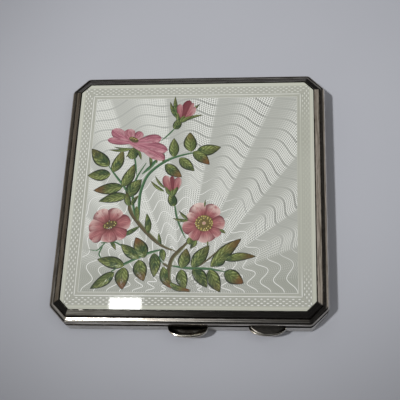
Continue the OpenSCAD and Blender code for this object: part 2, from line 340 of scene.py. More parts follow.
def border_silver():
    """Silver of the case: streaked along its edges; darkened in its hollows, under its bead and low on its
    base, partly tarnish and partly painted shade and dark reflection.
    """
    n = Nodes("silver")
    inset, z = n.inset()
    x, y, _ = n.split(n.place())
    around = n.join(n.math("MULTIPLY", n.math("ADD", x, y), 0.09),
                    n.math("MULTIPLY", n.math("SUBTRACT", x, y), 0.09),
                    n.total(n.times(inset, 3.2), n.times(z, 1.6)))
    streaks = n.noise(around, 1.3, 4.0, 0.65)
    blots = n.noise(n.place(), 0.9, 4.0, 0.6)
    wander = n.math("MULTIPLY", n.math("SUBTRACT", n.noise(n.place(), 0.7, 3.0, 0.6), 0.5), 0.34)
    rough_edge = n.math("ADD", inset, wander)
    # the rubbed-over edge of the enamel, then painted shade, partly tarnish, at the foot of the upper slope
    # and under the bead
    near_top = n.step(z, TOP - 0.5, TOP - 0.2)
    enamel_edge = n.times(near_top, n.step(rough_edge, 3.10, 3.22))
    # painted shade and dark reflection, partly tarnish, in the cove at the foot of the upper slope
    foot = n.times(n.step(rough_edge, 1.15, 1.45), n.step(rough_edge, 2.05, 1.75), n.step(z, 8.4, 8.7),
                   n.step(z, 9.9, 9.6))
    # a thin dark line along the bead
    line = n.times(n.step(inset, 0.62, 0.72), n.step(inset, 0.92, 0.82), n.step(z, 8.2, 8.5))
    # painted shade on the recessed skirt under the bead
    under = n.times(n.step(z, 5.7, 5.9), n.step(z, 7.75, 7.45), n.step(inset, 0.75, 0.6))
    seam = n.times(n.step(z, 5.5, 5.76), n.step(z, 5.95, 5.85), n.step(inset, 0.45, 0.3))
    # the base wall below the seam darker, in blots
    wall = n.times(n.step(z, 5.6, 5.4), n.step(blots, 0.25, 0.7, 0.35, 0.75))
    # painted shade on the lower bevel under the case
    border = n.times(n.step(z, 1.75, 1.6), n.step(inset, 0.5, 0.8))
    # painted shade, dark reflection and tarnish together, varied in blots
    tarnish_and_shade = n.total(n.times(foot, 0.95), n.times(line, 0.6), n.times(under, 0.75), n.times(seam, 0.7),
                     n.times(wall, 0.62), n.times(border, 0.45))
    tarnish_and_shade = n.math("MULTIPLY", tarnish_and_shade, n.step(blots, 0.2, 0.55, 0.75, 1.0))
    silver = n.mix(n.step(streaks, 0.38, 0.66, 0.0, 0.75), rgb(226, 221, 212), rgb(112, 101, 86))
    silver = n.mix(n.math("MINIMUM", tarnish_and_shade, 1.0), silver, rgb(26, 23, 20))
    silver = n.mix(enamel_edge, silver, rgb(26, 26, 18))
    rough = n.total(n.times(streaks, 0.2), n.times(tarnish_and_shade, 0.15), n.times(enamel_edge, 0.3), 0.03)
    n.set(Base_Color=silver, Metallic=1.0, Roughness=rough, Normal=n.bump(streaks, 0.45, 0.014))
    return n.material


def enamel_coordinates(n):
    """Position, wave coordinate in mm, and the painted light of a flank of the engine turning, by how much it
    faces the light.
    """
    x, y, _ = n.split(n.place())
    dx = n.math("SUBTRACT", x, TURNING_CENTRE[0])
    dy = n.math("SUBTRACT", y, TURNING_CENTRE[1])
    radius = n.math("SQRT", n.total(n.times(dx, dx), n.times(dy, dy)))
    angle = n.math("ARCTAN2", dy, dx)
    swing = n.math("MULTIPLY", angle, float(LOBES))
    height = n.step(radius, 20.0, 62.0, 1.35, 0.95)
    grow = n.step(radius, 0.0, 12.0, 0.15, 1.0)
    wave = n.math("SUBTRACT", radius, n.times(height, grow, n.math("COSINE", swing)))
    turn = n.math("FRACT", n.math("DIVIDE", swing, 2 * math.pi))
    # painted light and shade: bright from just past a trough to the crest, then a slow fall into the dark
    # flank
    flanks = ((0.0, 0.5), (0.15, 0.12), (0.3, 0.0), (0.45, 0.0), (0.53, 1.0), (0.86, 0.9), (1.0, 0.5))
    lit = n.ramp(turn, [(p, (v, v, v, 1)) for p, v in flanks])
    upright = n.step(n.math("DIVIDE", dy, n.math("ADD", radius, 0.01)), 0.1, 0.6)
    return x, y, radius, angle, wave, lit, upright


def wave_radius(wave, angle):
    """Radius of a bold wave at an angle: the same rule as enamel_coordinates."""
    def smoother(v, low, high):
        t = min(1, max(0, (v - low) / (high - low)))
        return t * t * (3 - 2 * t)
    r = wave
    for _ in range(12):
        height = 1.35 - 0.4 * smoother(r, 20, 62)
        grow = 0.15 + 0.85 * smoother(r, 0, 12)
        r = wave + height * grow * math.cos(LOBES * angle)
    return r


def enamel_material():
    """White enamel over fine engine turning, both drawn in one opaque glossy layer, with painted light and
    shade.
    """
    n = Nodes("enamel")
    x, y, radius, angle, wave, lit, upright = enamel_coordinates(n)
    full = 2 * math.pi
    cut = n.math("SINE", n.math("MULTIPLY", wave, full * FINE_PER_WAVE / WAVE_PITCH))
    teeth = n.math("ADD", n.times(n.math("GREATER_THAN", radius, 30.0), 280.0), 280.0)
    hatch = n.math("SINE", n.times(angle, teeth))
    crossed = n.math("ADD", n.times(cut, 0.5), n.times(hatch, 0.5))
    off = n.math("MAXIMUM", n.math("ABSOLUTE", x), n.math("ABSOLUTE", y))
    field = n.step(off, FIELD - 0.1, FIELD + 0.05, 1.0, 0.0)
    cloud = n.noise(n.place(), 0.05, 3.0, 0.5)
    blots = n.noise(n.place(), 0.16, 3.0, 0.6)
    # contrast of the painted light and shade of the flanks: strong above the centre of the turning, low
    # beside it
    depth = n.total(n.times(upright, 0.8), 0.2)
    pearl = n.mix(n.times(lit, depth), rgb(184, 186, 178), rgb(228, 230, 222))
    # painted sheen: lighter towards the left
    pearl = n.mix(n.step(x, 6.0, -24.0, 0.0, 0.2), pearl, rgb(228, 230, 223))
    # painted shade: darker towards the bottom
    pearl = n.mix(n.step(y, -12.0, -27.0, 0.0, 0.8), pearl, rgb(166, 169, 157))
    # the fine cuts show painted glints and dark lines: strong where the flanks are painted lit and near the
    # centre of the turning, weaker on the left
    close = n.step(radius, 27.0, 9.0)
    hatch_light = n.times(n.math("MAXIMUM", n.times(lit, depth), n.times(close, 0.7)),
                    n.step(blots, 0.3, 0.6, 0.55, 1.0), n.step(x, -20.0, 6.0, 0.45, 1.0))
    pearl = n.mix(n.times(n.step(crossed, 0.0, 0.6), hatch_light), pearl, rgb(254, 255, 250))
    pearl = n.mix(n.times(n.step(crossed, 0.0, -0.6), hatch_light, 0.95), pearl, rgb(118, 120, 114))
    faint = n.times(n.step(cut, 0.2, 0.95), 0.28)
    pearl = n.mix(faint, pearl, rgb(225, 226, 220))
    edge = n.mix(n.step(cloud, 0.35, 0.65), rgb(182, 183, 170), rgb(193, 194, 182))
    margin = n.step(off, BORDER - 1.25, BORDER - 0.95)
    edge = n.mix(n.times(margin, 0.7), edge, rgb(222, 224, 208))
    grain = n.math("SINE", n.times(off, full / 0.5))
    edge = n.mix(n.times(n.step(grain, -0.2, 1.0), 0.22), edge, rgb(140, 142, 132))
    n.set(Base_Color=n.mix(field, edge, pearl), Roughness=0.42, Coat_Weight=1.0,
          Coat_Roughness=0.03, Coat_IOR=1.5,
          Normal=n.bump(n.times(crossed, field), 0.35, 0.04))
    return n.material


def relief_material():
    """Bold cuts of the engine turning: thin inlays on the enamel, coloured as if seen through it."""
    n = Nodes("enamel_relief")
    x, y, radius, _, _, lit, upright = enamel_coordinates(n)
    tone = n.node("ShaderNodeAttribute", attribute_name="tone").outputs["Fac"]
    off = n.math("MAXIMUM", n.math("ABSOLUTE", x), n.math("ABSOLUTE", y))
    border = n.step(off, FIELD - 0.2, FIELD - 0.1)
    patch = n.noise(n.place(), 0.5, 2.0, 0.5)
    near = n.mix(patch, rgb(232, 234, 226), rgb(254, 254, 252))
    # the far cuts carry the painted light and shade of the flanks, with a painted sheen towards the left
    far = n.mix(lit, rgb(182, 184, 177), rgb(150, 152, 146))
    far = n.mix(n.step(x, 0.0, -16.0), far, rgb(180, 182, 177))
    distance = n.times(n.step(n.math("ADD", radius, n.times(x, 0.35)), 25.0, 43.0), upright)
    line = n.mix(distance, near, far)
    # painted highlight: the border's cuts are bright at the bottom and on the left, less at the top, dull on
    # the right
    bright = n.math("MAXIMUM", n.step(y, -20.0, -31.0), n.step(x, -20.0, -31.0, 0.0, 0.75))
    bright = n.math("MAXIMUM", bright, n.step(y, 20.0, 31.0, 0.0, 0.6))
    low = n.mix(bright, rgb(182, 184, 171), rgb(124, 127, 114))
    high = n.mix(bright, rgb(196, 198, 185), n.mix(patch, rgb(232, 234, 224), rgb(254, 254, 250)))
    cuts = n.mix(tone, low, high)
    n.set(Base_Color=n.mix(border, line, cuts), Roughness=0.35,
          Coat_Weight=1.0, Coat_Roughness=0.03)
    return n.material


def leaf_material():
    """Painted leaves: dark outline, veins, yellow-green lights and brown tips."""
    n = Nodes("painted_leaf")
    uv = n.node("ShaderNodeUVMap", uv_map="paint").outputs[0]
    split = n.node("ShaderNodeSeparateXYZ")
    n.put(split.inputs[0], uv)
    u = split.outputs[0]
    v = n.math("SUBTRACT", n.math("MULTIPLY", split.outputs[1], 2.0), 1.0)
    off = n.math("ABSOLUTE", v)
    tone = n.node("ShaderNodeAttribute", attribute_name="tone").outputs["Fac"]
    tint = n.node("ShaderNodeAttribute", attribute_name="tint").outputs["Fac"]
    brush = n.noise(n.place(), 1.5, 4.0, 0.7)
    along = n.total(u, n.times(off, -0.38), n.times(brush, 0.3))
    veins = n.math("ABSOLUTE", n.math("SINE", n.times(along, 16.0)))
    wash = n.noise(n.place(), 0.45, 2.0, 0.5)
    green = n.mix(n.step(brush, 0.3, 0.7), rgb(38, 64, 30), rgb(100, 122, 56))
    green = n.mix(n.times(n.step(wash, 0.4, 0.62), 0.55), green, rgb(126, 138, 74))
    green = n.mix(n.times(tone, 0.35), green, rgb(124, 120, 46))
    green = n.mix(n.step(v, 0.15, -0.5, 0.0, 0.5), green, rgb(34, 58, 30))
    lit = n.times(n.step(v, -0.35, 0.6, 0.25, 1.0), n.step(veins, 0.72, 0.97), n.step(brush, 0.3, 0.6))
    green = n.mix(n.times(lit, 0.7), green, rgb(184, 196, 132))
    green = n.mix(n.step(veins, 0.0, 0.25, 0.4, 0.0), green, rgb(24, 46, 22))
    green = n.mix(n.step(wash, 0.5, 0.3, 0.0, 0.7), green, rgb(24, 62, 38))
    green = n.mix(n.step(off, 0.0, 0.08, 0.85, 0.0), green, rgb(24, 38, 16))
    brown = n.times(n.step(n.math("ADD", u, n.times(brush, 0.4)), 0.6, 1.1), tint)
    green = n.mix(brown, green, n.mix(brush, rgb(66, 36, 20), rgb(146, 92, 48)))
    rim = n.math("MAXIMUM", n.step(n.math("ADD", off, n.times(brush, 0.3)), 0.82, 1.04), n.step(u, 0.9, 0.98))
    green = n.mix(n.times(rim, 0.92), green, rgb(20, 30, 14))
    n.set(Base_Color=green, Roughness=0.5, Coat_Weight=0.3, Coat_Roughness=0.1,
          Normal=n.bump(brush, 0.3, 0.03))
    return n.material


def stem_material():
    """Painted stems: teal green to brown."""
    n = Nodes("painted_stem")
    uv = n.node("ShaderNodeUVMap", uv_map="paint").outputs[0]
    split = n.node("ShaderNodeSeparateXYZ")
    n.put(split.inputs[0], uv)
    v = split.outputs[1]
    tone = n.node("ShaderNodeAttribute", attribute_name="tone").outputs["Fac"]
    tint = n.node("ShaderNodeAttribute", attribute_name="tint").outputs["Fac"]
    brush = n.noise(n.place(), 0.9, 3.0, 0.6)
    green = n.mix(brush, rgb(30, 80, 54), rgb(82, 130, 88))
    green = n.mix(tone, green, rgb(60, 92, 44))
    colour = n.mix(tint, green, n.mix(brush, rgb(62, 44, 28), rgb(122, 88, 56)))
    colour = n.mix(n.step(v, 0.0, 0.3, 0.6, 0.0), colour, rgb(26, 40, 24))
    colour = n.mix(n.step(v, 0.62, 0.85, 0.0, 0.3), colour, rgb(170, 190, 150))
    n.set(Base_Color=colour, Roughness=0.5, Coat_Weight=0.3, Coat_Roughness=0.1,
          Normal=n.bump(brush, 0.3, 0.03))
    return n.material


def petal_material():
    """Painted petals: dusty pink, streaked from base to edge."""
    n = Nodes("painted_petal")
    uv = n.node("ShaderNodeUVMap", uv_map="paint").outputs[0]
    split = n.node("ShaderNodeSeparateXYZ")
    n.put(split.inputs[0], uv)
    u = split.outputs[0]
    v = n.math("SUBTRACT", n.math("MULTIPLY", split.outputs[1], 2.0), 1.0)
    off = n.math("ABSOLUTE", v)
    tone = n.node("ShaderNodeAttribute", attribute_name="tone").outputs["Fac"]
    streak_place = n.node("ShaderNodeMapping")
    n.put(streak_place.inputs[0], uv)
    n.put(streak_place.inputs["Scale"], (1.4, 11.0, 1.0))
    streaks = n.noise(streak_place.outputs[0], 1.0, 4.0, 0.65)
    tint = n.node("ShaderNodeAttribute", attribute_name="tint").outputs["Fac"]
    brush = n.noise(n.place(), 0.9, 3.0, 0.6)
    pink = n.mix(n.step(streaks, 0.32, 0.68), rgb(134, 66, 72), rgb(190, 122, 122))
    pink = n.mix(n.times(n.step(u, 0.35, 0.95), n.step(brush, 0.25, 0.55), tone), pink, rgb(228, 204, 195))
    pink = n.mix(n.times(n.step(v, -0.35, -0.95), n.step(u, 0.3, 0.7), 0.65), pink, rgb(226, 192, 186))
    pink = n.mix(n.step(v, 0.2, 0.9, 0.0, 0.8), pink, rgb(112, 50, 58))
    pink = n.mix(n.step(u, 0.05, 0.5, 0.85, 0.0), pink, rgb(98, 44, 40))
    pink = n.mix(n.step(tone, -0.2, -1.0, 0.0, 0.8), pink, rgb(108, 38, 50))
    mauve = n.mix(n.step(streaks, 0.4, 0.6), rgb(136, 66, 84), rgb(200, 136, 148))
    mauve = n.mix(n.times(n.step(v, 0.1, -0.8), n.step(brush, 0.3, 0.6), 0.6), mauve, rgb(224, 182, 184))
    mauve = n.mix(n.step(v, 0.4, 0.95, 0.0, 0.6), mauve, rgb(118, 56, 74))
    pink = n.mix(tint, pink, mauve)
    rim = n.times(n.step(v, 0.8, 0.97), n.step(tone, 1.0, 0.3, 0.4, 1.0))
    pink = n.mix(n.times(rim, 0.6), pink, rgb(100, 44, 52))
    n.set(Base_Color=pink, Roughness=0.45, Coat_Weight=0.3, Coat_Roughness=0.1,
          Normal=n.bump(streaks, 0.3, 0.03))
    return n.material


def stamen_material():
    """Painted stamens: yellow dots on dark olive round a pale heart."""
    n = Nodes("painted_stamen")
    tone = n.node("ShaderNodeAttribute", attribute_name="tone").outputs["Fac"]
    brush = n.noise(n.place(), 2.2, 3.0, 0.6)
    tint = n.node("ShaderNodeAttribute", attribute_name="tint").outputs["Fac"]
    colour = n.mix(tone, n.mix(brush, rgb(52, 46, 26), rgb(116, 98, 58)), rgb(208, 190, 108))
    colour = n.mix(tint, colour, rgb(194, 156, 140))
    n.set(Base_Color=colour, Roughness=0.4, Coat_Weight=0.5, Coat_Roughness=0.1)
    return n.material


def thumb_silver():
    """Silver of the thumbpieces: bright on the rim, with a painted dark reflection on the upward faces of the
    dish.
    """
    n = Nodes("thumb_silver")
    _, _, z = n.split(n.place())
    _, _, facing = n.split(n.node("ShaderNodeTexCoord").outputs["Normal"])
    blots = n.noise(n.place(), 0.9, 4.0, 0.6)
    # painted dark reflection: the dish's upward faces darker, in blots
    dish_dark_reflection = n.times(n.step(facing, 0.3, 0.7), n.step(z, 6.4, 6.15), n.step(blots, 0.2, 0.55, 0.7, 0.95))
    n.set(Base_Color=n.mix(dish_dark_reflection, n.mix(n.step(blots, 0.4, 0.8), rgb(230, 225, 212), rgb(130, 112, 84)),
                           rgb(34, 28, 23)),
          Metallic=1.0, Roughness=n.times(blots, 0.3), Normal=n.bump(blots, 0.4, 0.02))
    return n.material


def card_material():
    """Plain card behind the mirror."""
    n = Nodes("card")
    cloud = n.noise(n.place(), 0.4, 4.0, 0.6)
    n.set(Base_Color=n.mix(cloud, rgb(96, 74, 54), rgb(120, 94, 70)), Roughness=0.8,
          Normal=n.bump(cloud, 0.2, 0.05))
    return n.material


SILVER = border_silver()
GILT = metal("gilt", rgb(240, 212, 150), rgb(214, 172, 108), 0.24)
THUMB = thumb_silver()
STEEL = metal("steel", rgb(170, 170, 172), rgb(120, 116, 110), 0.3)
ENAMEL = enamel_material()
RELIEF = relief_material()
LEAF = leaf_material()
STEM = stem_material()
PETAL = petal_material()
STAMEN = stamen_material()


def dress(obj, material):
    obj.data.materials.clear()
    obj.data.materials.append(material)


FINISH = {"silver": SILVER, "gilt": GILT, "pin_steel": STEEL, "enamel": ENAMEL,
          "mirror_glass": metal("mirror_glass", rgb(236, 240, 240), rgb(225, 228, 228), 0.03, 0.0),
          "card": card_material()}


def smoothing():
    """Node group that joins a CAD mesh's split vertices and shades its gentle edges smooth."""
    group = bpy.data.node_groups.new("smoothing", "GeometryNodeTree")
    group.interface.new_socket("Geometry", in_out="INPUT", socket_type="NodeSocketGeometry")
    group.interface.new_socket("Geometry", in_out="OUTPUT", socket_type="NodeSocketGeometry")
    source, end = group.nodes.new("NodeGroupInput"), group.nodes.new("NodeGroupOutput")
    merge = group.nodes.new("GeometryNodeMergeByDistance")
    merge.inputs["Distance"].default_value = 0.002 * MM
    faces = group.nodes.new("GeometryNodeSetShadeSmooth")
    edges = group.nodes.new("GeometryNodeSetShadeSmooth")
    edges.domain = "EDGE"
    angle = group.nodes.new("GeometryNodeInputMeshEdgeAngle")
    gentle = group.nodes.new("ShaderNodeMath")
    gentle.operation = "LESS_THAN"
    gentle.inputs[1].default_value = math.radians(28)
    group.links.new(source.outputs[0], merge.inputs["Geometry"])
    group.links.new(merge.outputs[0], faces.inputs["Geometry"])
    group.links.new(faces.outputs[0], edges.inputs["Geometry"])
    group.links.new(angle.outputs[0], gentle.inputs[0])
    group.links.new(gentle.outputs[0], edges.inputs["Shade Smooth"])
    group.links.new(edges.outputs[0], end.inputs[0])
    return group


SMOOTHING = smoothing()


def polish(obj):
    """Shades a CAD node smooth across its gentle edges and sharp across the others; its shape stays."""
    if "custom_normal" in obj.data.attributes:
        obj.data.attributes.remove(obj.data.attributes["custom_normal"])
    obj.modifiers.new("smoothing", "NODES").node_group = SMOOTHING
    weighted = obj.modifiers.new("weighted", "WEIGHTED_NORMAL")
    weighted.keep_sharp = True


for part in frame["record"]["subparts"]:
    dress(frame["nodes"][part["node"]], FINISH[part["material_slot"]])
    polish(frame["nodes"][part["node"]])


# ---------------------------------------------------------- enamel panel

def inside_field(x, y):
    half = FIELD - 0.15
    return abs(x) <= half and abs(y) <= half


def cut(cuts, path, width, level=TOP + INLAY, height=0.0):
    """A line of the engine turning along a path: level with the polished enamel, or a ridge."""
    side = normals_of(path)
    start = len(cuts.vertices)
    for p, q in zip(path, side):
        for v, share in ((-0.5, 0.0), (-0.2, 1.0), (0.2, 1.0), (0.5, 0.0)):
            w = p + q * v * width
            cuts.vertices.append((w[0], w[1], level + height * share))
            cuts.tone.append(share)
    for i in range(len(path) - 1):
        for j in range(3):
            a = start + i * 4 + j
            cuts.faces.append((a, a + 4, a + 5, a + 1))


class Cuts:
    """Collects the cuts of the engine turning into one mesh."""

    def __init__(self):
        self.vertices, self.faces, self.tone = [], [], []

    def object(self, name, smooth, body="lid", slot="enamel", material=None):
        obj = make_object(name, self.vertices, self.faces, body,
                          floats={"tone": self.tone}, smooth=smooth)
        obj.data.materials.append(material or RELIEF)


def bold_waves():
    """The bold waves of the engine turning."""
    cuts = Cuts()
    wave = WAVE_FIRST + WAVE_PITCH
    while wave < LAST_WAVE:
        run = []
        steps = int(360 * max(2, wave / 12))
        for k in range(steps + 1):
            angle = math.radians(-20 + 220 * k / steps)
            r = wave_radius(wave, angle)
            x = TURNING_CENTRE[0] + r * math.cos(angle)
            y = TURNING_CENTRE[1] + r * math.sin(angle)
            if inside_field(x, y):
                run.append((x, y))
            else:
                if len(run) > 4:
                    cut(cuts, np.array(run), CUT_WIDTH)
                run = []
        if len(run) > 4:
            cut(cuts, np.array(run), CUT_WIDTH)
        wave += WAVE_PITCH
    cuts.object("bold_waves", smooth=True)


def border_relief():
    """Double line round the field and the lattice of lozenges in the border."""
    cuts = Cuts()
    for half, width in ((FIELD, 0.22), (FIELD + 0.95, 0.46)):
        loop = [(half, -half), (half, half), (-half, half), (-half, -half), (half, -half)]
        for a, b in zip(loop, loop[1:]):
            path = np.linspace(np.array(a, float), np.array(b, float), 8)
            cut(cuts, path, width)
    pitch, row_gap, rows = 1.67, 0.57, 4
    long, wide = 0.74, 0.3
    for side in range(4):
        cos, sin = [(0, -1), (1, 0), (0, 1), (-1, 0)][side]
        for row in range(rows):
            out = FIELD + 1.62 + row * row_gap
            count = int(out * 2 / pitch)
            for k in range(-count // 2, count // 2 + 1):
                along = (k + 0.5 * (row % 2)) * pitch
                if abs(along) > out - 0.45 or abs(along) + out > 2 * BORDER - PANEL_CORNER - 0.7:
                    continue
                cx, cy = cos * out - sin * along, sin * out + cos * along
                start = len(cuts.vertices)
                rim = ((1, 0), (0, 1), (-1, 0), (0, -1))
                for share in (1.0, 0.5):
                    for s, t in rim:
                        s, t = s * long * share, t * wide * share
                        cuts.vertices.append((cx - sin * s + cos * t, cy + cos * s + sin * t, TOP + INLAY))
                        cuts.tone.append(0.0 if share == 1.0 else 1.0)
                cuts.faces += [(start + i, start + (i + 1) % 4, start + 4 + (i + 1) % 4, start + 4 + i)
                               for i in range(4)]
                cuts.faces.append((start + 4, start + 5, start + 6, start + 7))
    cuts.object("border_relief", smooth=False)


def inner_lid_relief():
    """Trellis and frame lines of the engine turning on the gilt inner lid."""
    low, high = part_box("inner_lid_plate")
    edge, cant, pitch = 1.6, CASE_CORNER, 2.6
    half, front, back = high.x / MM - edge, low.y / MM + edge, high.y / MM - edge
    level = high.z / MM - 0.005
    cuts = Cuts()
    for inner, width in ((0.0, 0.4), (1.1, 0.25)):
        x, f, b, c = half - inner, front + inner, back - inner, cant - 0.6 * inner
        loop = [(x, f + c), (x, b), (-x, b), (-x, f + c), (c - x, f), (x - c, f), (x, f + c)]
        for start, end in zip(loop, loop[1:]):
            cut(cuts, np.linspace(start, end, 3), width, level, RIDGE)
    x, f, b = half - 2.0, front + 2.0, back - 2.0
    for slant in (1, -1):
        for k in range(-30, 31):
            shift = pitch * k
            run = [(t, slant * t + shift) for t in np.linspace(-x, x, 241)
                   if f <= slant * t + shift <= b and abs(t) - (slant * t + shift) <= x - f - cant]
            if len(run) > 8:
                cut(cuts, np.array([run[0], run[len(run) // 2], run[-1]]), 0.3, level, RIDGE)
    cuts.object("inner_lid_relief", False, "inner_lid", "gilt", GILT)


bold_waves()
border_relief()
inner_lid_relief()


# ----------------------------------------------------------- thumbpieces

def thumbpiece(name, body, middle, width, depth, low, high, full):
    """A crescent to lift a lid by: dished on top, with a rolled rim; full sets how square its outline is."""
    section = [(0.0, 0.0), (0.82, 0.0), (0.94, 0.1), (1.0, 0.42), (0.99, 0.72), (0.94, 0.93), (0.87, 1.0),
               (0.79, 0.95), (0.71, 0.8), (0.55, 0.64), (0.3, 0.56), (0.0, 0.52)]
    wall = -HALF - 0.06
    vertices, faces = [], []
    steps, count = 64, len(section)
    for i in range(steps + 1):
        turn = math.pi * i / steps
        cos, sin = math.cos(turn), math.sin(turn)
        x = middle + width / 2 * math.copysign(abs(cos) ** (2 / full), cos)
        out = depth * max(sin, 0.0) ** (2 / full)
        for t, up in section:
            vertices.append((x, wall - t * out, low + (high - low) * up))
    for i in range(steps):
        for j in range(count):
            a, b = i * count + j, i * count + (j + 1) % count
            faces.append((a, b, b + count, a + count))
    obj = make_object(name, vertices, faces, body)
    obj.data.materials.append(THUMB)
    return obj


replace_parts(thumbpiece("lid_thumb", "lid", 0.2, 10.8, 3.0, 5.42, 6.5, 2.5), "lid_thumbpiece")
thumbpiece("inner_lid_thumb", "inner_lid", 21.5, 9.9, 2.4, 5.44, 6.46, 2.05)


# ------------------------------------------------------------ rose spray

def painted_stems():
    s = Strokes()
    green = [
        ([(-15.3, -7.5), (-15.5, -4), (-15.3, 0), (-13.5, 5), (-9, 9), (-4, 11), (1, 12)], 0.85),
        ([(-16.3, -8), (-17.2, -4), (-17.6, 0), (-16.8, 4), (-14.5, 8.5)], 0.7),
        ([(-7, 19.5), (-8.7, 17.5), (-10.7, 15.5)], 0.45),
        ([(-5.4, -4.5), (-4.6, -8), (-3.2, -11.5), (-1.7, -14.5)], 0.55),
        ([(-17.9, -4.4), (-18.6, -1.5), (-20.5, 1.5), (-23.3, 5), (-25.5, 8)], 0.65),
        ([(-5, -22.2), (0, -22.9), (5, -23.1), (9.8, -24)], 0.75),
        ([(-8.5, -17.6), (-12, -18.6), (-15, -20), (-18.5, -21.8), (-21.5, -23.6)], 0.8),
        ([(-23.8, -15.3), (-25, -16.8), (-26, -17.6), (-28.1, -17.4)], 0.4),
        ([(-24.5, -16.5), (-25.2, -18.6), (-24.2, -20.2)], 0.4),
        ([(-18.5, 12.2), (-17.6, 8.5), (-16.9, 4.5)], 0.5),
        ([(-7.9, -17.5), (-8.6, -19.8), (-7.4, -21.6)], 0.45),
        ([(-25, -15.5), (-21.5, -15.2), (-18.5, -16.8)], 0.5),
        ([(-11.6, 9.4), (-13.2, 7.2), (-15.4, 5.0)], 1.0),
    ]
    brown = [
        ([(-18.4, -3), (-17.8, -6), (-15.4, -9.5), (-12, -13.2), (-8.2, -16.4), (-4, -18.2)], 1.15),
        ([(-1.2, -15.6), (-3.2, -17.8), (-5, -20), (-5.7, -23), (-5.5, -26.3), (-3.6, -28.6), (0.3, -29.4)],
         1.15),
        ([(-7.5, -21.4), (-6.2, -22.2), (-4.6, -22.2)], 0.7),
        ([(2.4, -22.4), (4.6, -20.6), (6.2, -19.2), (8.2, -17.2)], 0.45),
    ]
    for path, width in green:
        stroke(s, path, width, 0.012, tone=0.25)
    for path, width in brown:
        stroke(s, path, width, 0.02, tint=0.75)
    return s.object("painted_stems", "enamel", STEM)


